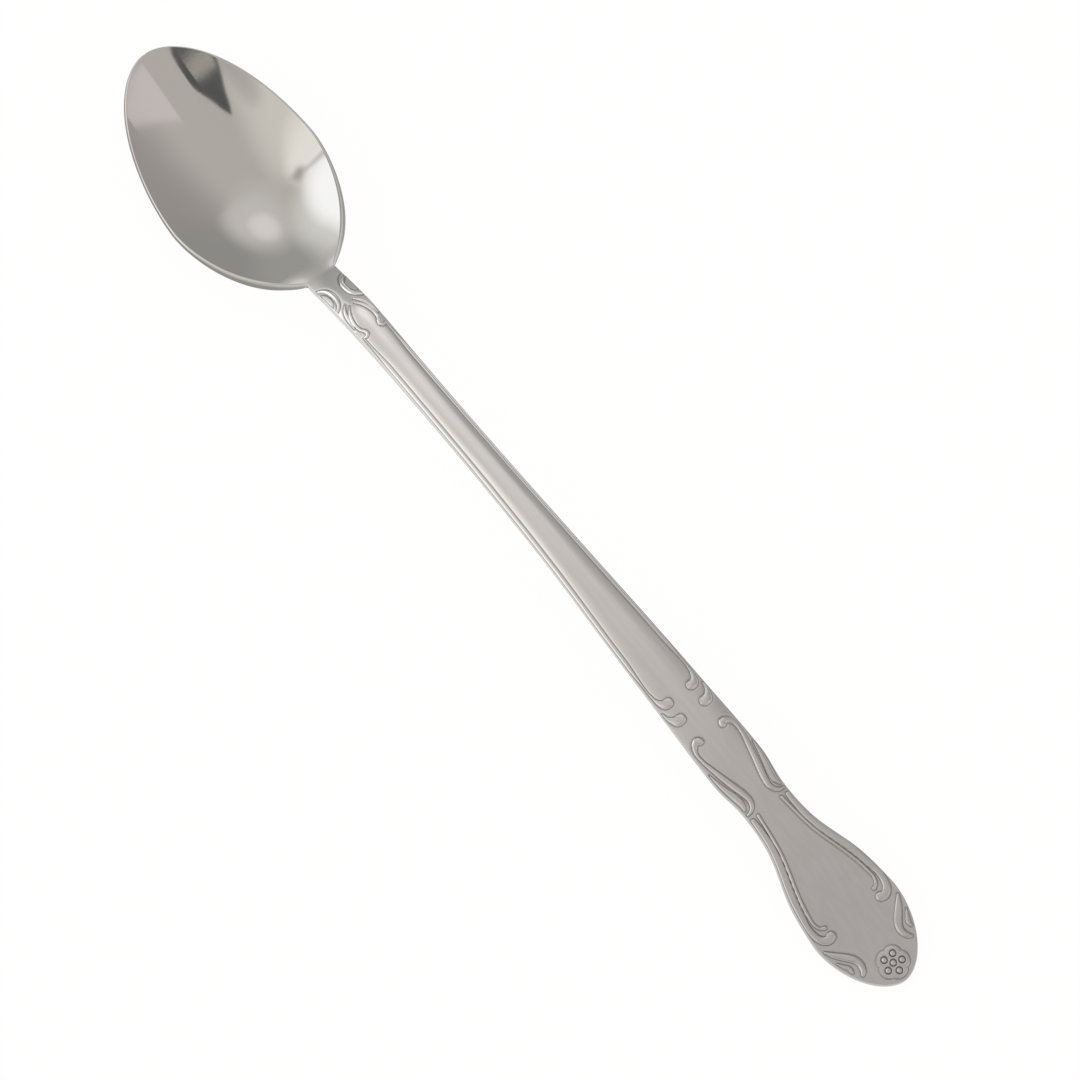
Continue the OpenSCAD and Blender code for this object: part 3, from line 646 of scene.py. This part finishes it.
def finishPiece(name, bm, node, material, sharp=None):
    for face in bm.faces:
        face.smooth = True
    mesh = bpy.data.meshes.new(name)
    bm.to_mesh(mesh)
    bm.free()
    if sharp:
        mesh.set_sharp_from_angle(angle=math.radians(sharp))
    mesh.materials.append(material)
    piece = bpy.data.objects.new(name, mesh)
    bpy.context.scene.collection.objects.link(piece)
    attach(piece, "root")
    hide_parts(node)
    print(name, len(mesh.polygons), "faces")


for name, piece in pattern.items():
    strokes, margin = piece["strokes"], relief["margin"]
    x0 = min((s["x"] - s["half"]).min() for s in strokes) - margin
    x1 = max((s["x"] + s["half"]).max() for s in strokes) + margin
    inner = min(((s["y"] - s["half"] - margin) / halfWidth(s["x"])).min() for s in strokes)
    box = (x0, x1, max(relief["inner"], inner), relief["outer"])
    reliefPiece(name, piece["node"], strokesHeight(strokes), box, True, piece.get("cell", relief["cell"]))

reach = flower["radius"] + relief["margin"]
petalEnd = min(flower["at"] + reach, length - flower["endGap"])
petalBox = (flower["at"] - reach, petalEnd, -flower["sides"], flower["sides"])
reliefPiece("flowerPetals", "flower_petals", petalsHeight, petalBox, False, flower["cell"])

bm = bmesh.new()
beadSize = [flower[key] * mm for key in ("beadRadius", "beadRadius", "beadHeight")]
for x, y in beadPlaces():
    t = y / float(halfWidth(x))
    spot = centred(topAt(x, t, riseLine)) * mm
    up = Vector(normalAt(x, t, riseLine))
    made = bmesh.ops.create_uvsphere(bm, u_segments=flower["beadSides"], v_segments=flower["beadBands"], radius=1.0)
    bmesh.ops.scale(bm, verts=made["verts"], vec=beadSize)
    bmesh.ops.rotate(bm, verts=made["verts"], cent=(0, 0, 0), matrix=up.to_track_quat("Z", "Y").to_matrix())
    bmesh.ops.translate(bm, verts=made["verts"], vec=Vector(spot))
finishPiece("flowerDots", bm, "flower_dots", satinSteel)
print("pattern ready")

# camera at the photograph's angle
camera = {
    "turn": 51.135, "height": 73.36, "target": (6.38, -0.06, 4.0), "frameWidth": 169.2,  # degrees and mm
    "lens": 130.0, "sensor": 36.0, "clip": (0.01, 20),
}
a, e = math.radians(camera["turn"]), math.radians(camera["height"])
right = Vector((math.cos(a), math.sin(a), 0))
back = Vector((math.sin(a) * math.cos(e), -math.cos(a) * math.cos(e), math.sin(e)))
lens = bpy.data.cameras.new("camera")
lens.lens, lens.sensor_width = camera["lens"], camera["sensor"]
lens.clip_start, lens.clip_end = camera["clip"]
view = bpy.data.objects.new("camera", lens)
bpy.context.scene.collection.objects.link(view)
eye = Vector(camera["target"]) + back * camera["frameWidth"] * camera["lens"] / camera["sensor"]
turned = Matrix((right, back.cross(right), back)).transposed().to_4x4()
view.matrix_world = Matrix.Translation(eye * mm) @ turned
bpy.context.scene.camera = view

# floor: its diffuse part takes the spoon's shadow, its glow keeps the ground white
ground = {"size": 3.0, "below": 0.02, "board": "#F2F1F0", "glow": "#FFFEFE", "bright": 1.025, "glowShare": 0.94}
bm = bmesh.new()
bmesh.ops.create_grid(bm, x_segments=2, y_segments=2, size=ground["size"])
bmesh.ops.translate(bm, verts=bm.verts, vec=(0, 0, -ground["below"] * mm))
floorMesh = bpy.data.meshes.new("floor")
bm.to_mesh(floorMesh)
bm.free()
floor = bpy.data.objects.new("floor", floorMesh)
bpy.context.scene.collection.objects.link(floor)
material, tree = newMaterial("paintedTable")  # matt white board
ray = add(tree, "ShaderNodeLightPath")
board = add(tree, "ShaderNodeBsdfDiffuse", {"Color": linear(ground["board"])})
seen = add(tree, "ShaderNodeMath", {"operation": "MAXIMUM"},
           {0: ray.outputs["Is Camera Ray"], 1: ray.outputs["Is Glossy Ray"]})
bright = add(tree, "ShaderNodeMath", {"operation": "MULTIPLY", 1: ground["bright"]}, {0: seen.outputs["Value"]})
glow = add(tree, "ShaderNodeEmission", {"Color": linear(ground["glow"])}, {"Strength": bright.outputs["Value"]})
dim = add(tree, "ShaderNodeMixShader", {0: ground["glowShare"]},
          {1: board.outputs["BSDF"], 2: glow.outputs["Emission"]})
add(tree, "ShaderNodeOutputMaterial", {}, {"Surface": dim.outputs["Shader"]})
floorMesh.materials.append(material)

# the pale room round the spoon; ways are in the part's own frame, levels are shares of white
room = {
    "walls": ("#E7E2DD", 1.0),
    "glows": [  # way, degrees to its full and to its last strength, colour, level
        ((-0.1, 0.97, 0.2), 6, 60, "#EDE6E3", 0.66),
        ((-0.6, 0.8, 0.1), 6, 46, "#EFEFEB", 0.57),
        ((-0.95, 0.25, 0.2), 4, 32, "#EFEFEB", 0.66),
        ((-0.36, 0.15, 0.92), 3, 34, "#F2EEEA", 0.99),
        ((0.0, -0.86, 0.5), 14, 50, "#F1ECE5", 1.24),
        ((-0.28, -0.78, 0.56), 6, 28, "#F3EFEA", 1.6),
        ((0.56, -0.64, 0.52), 3, 15, "#E9E4DE", 0.86),
        ((-0.85, -0.42, 0.36), 6, 36, "#F5F4F1", 1.28),
        ((-0.72, -0.62, 0.34), 10, 28, "#F6F7F9", 1.92),
        ((-0.48, 0.33, 0.8), 2, 32, "#F4F0ED", 1.06),
        ((-0.6, 0.27, 0.74), 1, 15, "#F4EEED", 1.34),
        ((-0.2, 0.98, 0.02), 2, 9, "#F4F1EC", 1.5),
        ((-0.15, -0.97, 0.15), 5, 17, "#F6F4F0", 1.75),
    ],
    "panels": [  # corners going round, softness of the edges, colour, level
        ([(0.7, 0.36, 1), (0.878, 1.722, 1), (1.5, 1.9, 1), (1.4, 0.46, 1)], 0.006, "#F2EAE9", 1.13),
        ([(0.8, -0.885, 1), (0.637, -0.45, 1), (0.7, -0.27, 1), (0.745, -0.155, 1), (0.9, -0.13, 1),
          (0.9, -0.86, 1)], 0.005, "#E6E8EA", 0.19),
        ([(0.8, -0.84, 1), (0.776, -0.75, 1), (0.764, -0.59, 1), (0.756, -0.43, 1), (0.753, -0.28, 1),
          (0.9, -0.22, 1), (0.9, -0.84, 1)], 0.004, "#EFEAE0", 0.8),
        ([(-0.35, -0.92, 0.15), (-0.43, -0.9, 0.15), (-0.425, -0.62, 0.66), (-0.39, -0.63, 0.66)],
         0.035, "#F0EEEA", 1.12),
        ([(-0.31, -0.62, 0.71), (-0.4, -0.655, 0.64), (-0.48, -0.51, 0.71), (-0.37, -0.475, 0.8)],
         0.06, "#EFEEE8", 0.82),
    ],
}


def lit(code, level):
    return [c * level for c in linear(code)[:3]] + [1.0]


world = bpy.data.worlds.new("studio")
bpy.context.scene.world = world
world.use_nodes = True
tree = world.node_tree
tree.nodes.clear()
way = add(tree, "ShaderNodeTexCoord").outputs["Generated"]
colour = add(tree, "ShaderNodeRGB")
colour.outputs[0].default_value = lit(*room["walls"])
colour = colour.outputs[0]
for toward, full, last, code, level in room["glows"]:
    outer, inner = math.cos(math.radians(last)), math.cos(math.radians(full))
    facing = add(tree, "ShaderNodeVectorMath", {"operation": "DOT_PRODUCT", 1: Vector(toward).normalized()}, {0: way})
    mask = add(tree, "ShaderNodeMapRange",
               {"interpolation_type": "SMOOTHSTEP", "From Min": outer, "From Max": inner},
               {"Value": facing.outputs["Value"]})
    colour = add(tree, "ShaderNodeMix", {"data_type": "RGBA", 7: lit(code, level)},
                 {0: mask.outputs["Result"], 6: colour}).outputs[2]
for corners, soft, code, level in room["panels"]:
    inside = None
    middle = sum((Vector(c) for c in corners), Vector()).normalized()
    for i, corner in enumerate(corners):
        edge = Vector(corner).cross(Vector(corners[(i + 1) % len(corners)])).normalized()
        edge = edge if edge.dot(middle) > 0 else -edge
        side = add(tree, "ShaderNodeVectorMath", {"operation": "DOT_PRODUCT", 1: edge}, {0: way})
        mask = add(tree, "ShaderNodeMapRange",
                   {"interpolation_type": "SMOOTHSTEP", "From Min": -soft, "From Max": soft},
                   {"Value": side.outputs["Value"]}).outputs["Result"]
        inside = mask if inside is None else add(tree, "ShaderNodeMath", {"operation": "MULTIPLY"},
                                                 {0: inside, 1: mask}).outputs["Value"]
    colour = add(tree, "ShaderNodeMix", {"data_type": "RGBA", 7: lit(code, level)}, {0: inside, 6: colour}).outputs[2]
surface = add(tree, "ShaderNodeBackground", {"Strength": 1.0}, {"Color": colour})
ray = add(tree, "ShaderNodeLightPath")  # the camera sees plain white behind the spoon
white = add(tree, "ShaderNodeBackground", {"Color": linear(ground["glow"]), "Strength": 1.0})
pick = add(tree, "ShaderNodeMixShader", {}, {0: ray.outputs["Is Camera Ray"], 1: surface.outputs["Background"],
                                             2: white.outputs["Background"]})
add(tree, "ShaderNodeOutputWorld", {}, {"Surface": pick.outputs["Shader"]})
print("room ready")

scene = bpy.context.scene
scene.view_settings.view_transform = "Standard"
